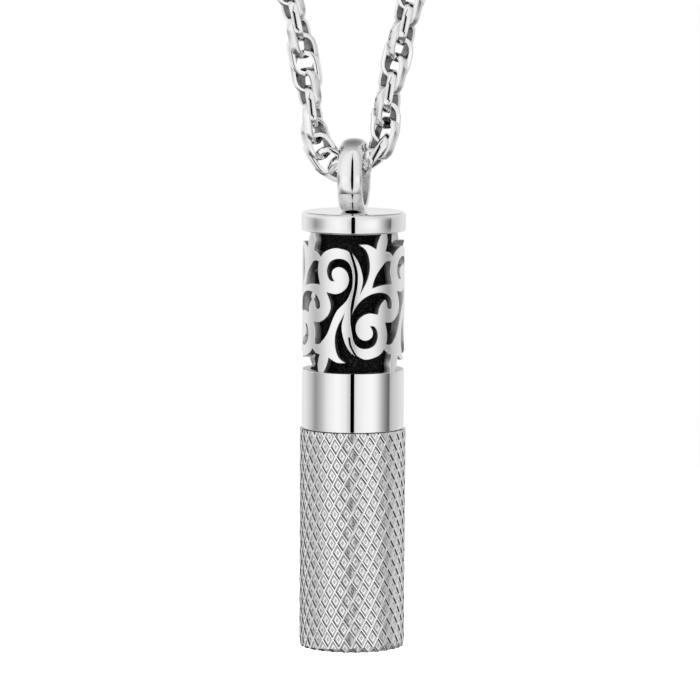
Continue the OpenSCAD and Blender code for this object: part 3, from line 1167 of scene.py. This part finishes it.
    def stations(self, points: list[Vector], lengths: list[float]) -> list[tuple[float, float]]:
        """Where each link is and how it is rolled.

        Args:
            points: Points of the route.
            lengths: The route's length up to each point.

        Returns:
            Pairs of length along the route and roll in degrees.
        """
        lowest = min(range(len(points)), key=lambda i: points[i].z)
        start = self.end_reach - self.right_strand[0][0]
        right = next(lengths[i] for i in range(lowest) if points[i].z < self.right_edge_on)
        bail = next(lengths[i] for i in range(lowest) if points[i].z < self.bail_edge_on)
        left = next(lengths[i] for i in range(lowest, len(points)) if points[i].z > self.left_edge_on)
        stops = [start, right, bail, left, lengths[-1] - start]
        face_on, edge_on = 0.0, 90.0
        looks = [face_on, edge_on, edge_on, edge_on, face_on]
        stations = [(start, face_on)]
        for i, stretch in enumerate(self.stretches):
            count = round((stops[i + 1] - stops[i]) / stretch.pitch)
            gain = looks[i + 1] - looks[i]
            gain += 180 * round((stretch.roll * count - gain) / 180)
            first, roll = stations[-1]
            pitch = (stops[i + 1] - stops[i]) / count
            stations += [(first + pitch * k, roll + gain * k / count) for k in range(1, count + 1)]
            log.info("links %d, pitch %.3f, roll %.1f", count, pitch, gain / count)
        return stations

    def places(self) -> list[Matrix]:
        """Where each link goes.

        Returns:
            One matrix a link: its place, its direction along the route and its roll.
        """
        points = self.route()
        lengths = [0.0]
        for a, b in zip(points, points[1:]):
            lengths.append(lengths[-1] + (b - a).length)
        places = []
        k = 0
        for reach, roll in self.stations(points, lengths):
            while lengths[k + 1] < reach and k < len(lengths) - 2:
                k += 1
            t = (reach - lengths[k]) / (lengths[k + 1] - lengths[k])
            centre = points[k].lerp(points[k + 1], t)
            along = (points[k + 1] - points[k]).normalized()
            depth = Vector((0, 1, 0))
            across = depth.cross(along)
            turn = Matrix.Rotation(math.radians(roll), 3, along)
            axes = Matrix((turn @ across, turn @ depth, along)).transposed()
            places.append(Matrix.Translation(centre) @ axes.to_4x4())
        return places

    def build(self) -> Object:
        """Strings the links along the route and dresses them."""
        link_mesh = as_mesh(self.base_link(), "one_link")
        bm = bmesh.new()
        for place in self.places():
            known = len(bm.verts)
            bm.from_mesh(link_mesh)
            bm.verts.ensure_lookup_table()
            bmesh.ops.transform(bm, matrix=place, verts=bm.verts[known:])
        bpy.data.meshes.remove(link_mesh)
        piece = as_piece(bm, "rope_chain", height=0.0)
        weigh_normals(piece, 50)
        dress(piece, [CHAIN_STEEL, PAINTED_SHADE_CHAIN_INSIDE], Slot.CHAIN, Body.LOOP, "chain")
        return piece


@dataclass
class NapeFittings:
    """The clasp and the two jump rings at the nape, as the frame has them."""

    def build(self) -> None:
        """Dresses the clasp and the rings."""
        for name in ("clasp", "jump_ring_left", "jump_ring_right"):
            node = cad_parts[name]
            node.data.materials.clear()
            node.data.materials.append(POLISHED.material())
            log.info("%s: polished", name)


@dataclass
class Studio:
    """Pale floor, soft lights, the white room that the steel mirrors, and the camera. Metres here."""

    floor_height: float = -0.40
    floor_radius: float = 0.95
    camera_place: tuple[float, float, float] = (-0.0003, -0.486, -0.2114)
    camera_aim: tuple[float, float, float] = (-0.0003, 0.0, -0.2654)
    camera_roll: float = 0.29
    lens: float = 261.6

    # Brightness of the room at eye level, by bearing in degrees from the camera's side, to the right. The
    # levels follow the brightness that was measured across the plain collar in the photograph
    flags = (
        (-180, 0.8), (-150, 0.95), (-134, 0.95), (-120, 0.8), (-107, 0.63), (-100, 0.46), (-93, 0.37),
        (-80, 0.54), (-69, 0.76), (-64, 0.92), (-50, 1.1), (-35, 1.2), (-16, 1.04), (-11, 0.82),
        (-6, 0.7), (4, 0.85), (10, 1.02), (30, 1.16), (44, 1.19), (54, 1.06),
        (64, 0.74), (75, 0.4), (87, 0.17), (91, 0.17), (93, 0.56), (107, 0.72), (134, 0.89), (150, 0.9),
        (180, 0.8),
    )
    eye_level: float = -0.11
    flags_edge: Point = (0.06, 0.24)
    flags_fade: float = 0.7
    # Brightness of what is above and below the flags, and of the ground, at the far left and far right
    walls_light: Point = (1.12, 0.82)
    ground_light: Point = (0.1, 0.28)
    ground_edge: Point = (0.38, 0.7)
    front_edge: Point = (0.5, 0.85)
    front_drop: float = 0.42
    patch_light: float = 0.26
    patch_edge: Point = (0.74, 1.0)
    patch_foot: Point = (0.2, 0.35)
    # The slot's bearing and half width in degrees, and the heights over which its ends close
    slot_bearing: float = -1.25
    slot_half: Point = (4.1, 4.7)
    slot_top: Point = (0.78, 1.0)
    slot_foot: Point = (0.5, 0.75)
    light_size: float = 0.9

    def floor(self) -> None:
        """Lays a round pale floor that fades into the white room."""
        bm = bmesh.new()
        bmesh.ops.create_circle(bm, cap_ends=True, segments=96, radius=self.floor_radius)
        bmesh.ops.translate(bm, verts=bm.verts, vec=(0, 0, self.floor_height))
        floor = as_object(bm, "studio_floor")
        floor.data.materials.append(self.floor_finish())
        floor.visible_glossy = False

    def floor_finish(self) -> Material:
        """White matt floor with a soft rim.

        Returns:
            The material.
        """
        material, nodes = new_material("studio_white")
        x, y, _ = nodes.axes(nodes.coordinates("Object"))
        square = nodes.math("ADD", nodes.math("MULTIPLY", x, x), nodes.math("MULTIPLY", y, y))
        reach = nodes.math("DIVIDE", nodes.math("SQRT", square), self.floor_radius)
        fade = nodes.ramp(reach, [(0.35, grey(1.0)), (0.98, grey(0.0))])
        nodes.surface(Base_Color=(*grey(0.93), 1.0), Roughness=0.9, Specular_IOR_Level=0.1, Alpha=fade)
        return material

    def room(self) -> None:
        """White room seen in the steel: grey flags stand round the walls at eye level. There is a dark patch
        overhead, a dark ground, and a black slot straight in front."""
        world = bpy.data.worlds.new("white_room")
        bpy.context.scene.world = world
        world.use_nodes = True
        world.node_tree.nodes.clear()
        nodes = Nodes(world.node_tree)
        right, away, up = nodes.axes(nodes.coordinates("Generated"))
        toward = nodes.math("MULTIPLY", away, -1.0)
        below = nodes.math("MULTIPLY", up, -1.0)
        to_right = nodes.step(right, -1.0, 1.0)
        bearing = nodes.math("ARCTAN2", right, toward)
        turn = nodes.math("ADD", nodes.math("DIVIDE", bearing, FULL_TURN), 0.5)
        flags = nodes.ramp(turn, [(degrees / 360 + 0.5, grey(level)) for degrees, level in self.flags])
        off_level = nodes.math("ABSOLUTE", nodes.math("SUBTRACT", up, self.eye_level))
        off_flags = nodes.math("MULTIPLY", nodes.step(off_level, *self.flags_edge), self.flags_fade)
        walls = nodes.blend(off_flags, flags, nodes.blend(to_right, *self.walls_light))
        overhead = nodes.math("ADD", nodes.math("MULTIPLY", up, 0.8), nodes.math("MULTIPLY", away, 0.6))
        not_low = nodes.step(up, *self.patch_foot)
        patch = nodes.math("MULTIPLY", nodes.step(overhead, *self.patch_edge), not_low)
        with_patch = nodes.blend(patch, walls, self.patch_light)
        in_front = nodes.math("MULTIPLY", nodes.step(toward, *self.front_edge), self.front_drop)
        depth = nodes.step(nodes.math("SUBTRACT", below, in_front), *self.ground_edge)
        with_ground = nodes.blend(depth, with_patch, nodes.blend(to_right, *self.ground_light))
        past_ends = nodes.math("ADD", nodes.step(up, *self.slot_top), nodes.step(below, *self.slot_foot))
        taper = nodes.math("MULTIPLY", past_ends, math.radians(self.slot_half[1]))
        aside = nodes.math("ABSOLUTE", nodes.math("SUBTRACT", bearing, math.radians(self.slot_bearing)))
        slot_edge = (math.radians(degrees) for degrees in self.slot_half)
        off_slot = nodes.step(nodes.math("ADD", aside, taper), *slot_edge)
        mirrored = nodes.add("ShaderNodeBackground", {"Color": nodes.blend(off_slot, 0.0, with_ground)})
        seen = nodes.add("ShaderNodeBackground", {"Color": (*grey(1.0), 1.0)})
        camera_ray = nodes.add("ShaderNodeLightPath").outputs["Is Camera Ray"]
        shaders = {"Fac": camera_ray, 1: mirrored.outputs[0], 2: seen.outputs[0]}
        choice = nodes.add("ShaderNodeMixShader", shaders)
        nodes.add("ShaderNodeOutputWorld", {"Surface": choice.outputs[0]})

    def lights(self) -> None:
        """Two broad soft lights above the camera, and one that washes the floor behind the object."""
        for name, place, aim, power in (
            ("soft_left", (-0.8, -0.6, 0.7), (0, 0, -0.27), 9.0),
            ("soft_right", (0.9, -0.5, 0.6), (0, 0, -0.27), 7.0),
            ("floor_wash", (0, 0.85, 0.45), (0, 0.8, -0.4), 22.0),
        ):
            data = bpy.data.lights.new(name, "AREA")
            data.shape = "RECTANGLE"
            data.size = data.size_y = self.light_size
            data.energy = power
            light = bpy.data.objects.new(name, data)
            light.location = place
            light.visible_glossy = False
            light.rotation_euler = (Vector(aim) - Vector(place)).to_track_quat("-Z", "Y").to_euler()
            bpy.context.scene.collection.objects.link(light)

    def camera(self) -> None:
        """Sets the camera at the photograph's angle."""
        data = bpy.data.cameras.new("camera")
        data.lens = self.lens
        data.clip_start = 0.01
        camera = bpy.data.objects.new("camera", data)
        camera.location = self.camera_place
        aim = Vector(self.camera_aim) - Vector(self.camera_place)
        roll = Quaternion(Z_AXIS, math.radians(self.camera_roll))
        camera.rotation_euler = (aim.to_track_quat("-Z", "Y") @ roll).to_euler()
        bpy.context.scene.collection.objects.link(camera)
        bpy.context.scene.camera = camera

    def build(self) -> None:
        """Sets up the whole studio."""
        self.floor()
        self.room()
        self.lights()
        self.camera()
        bpy.context.scene.view_settings.view_transform = "Standard"


def write_sizes() -> None:
    """Updates the view layer."""
    bpy.context.view_layer.update()


def main() -> None:
    """Builds the locket, its chain and the studio round them."""
    logging.basicConfig(level=logging.INFO, format="%(name)s: %(message)s")
    CapWithBail().build()
    ScrollTube().build()
    ScentCore().build()
    KnurledCase().build()
    RopeChain().build()
    NapeFittings().build()
    Studio().build()
    write_sizes()


if __name__ == "__main__":
    main()
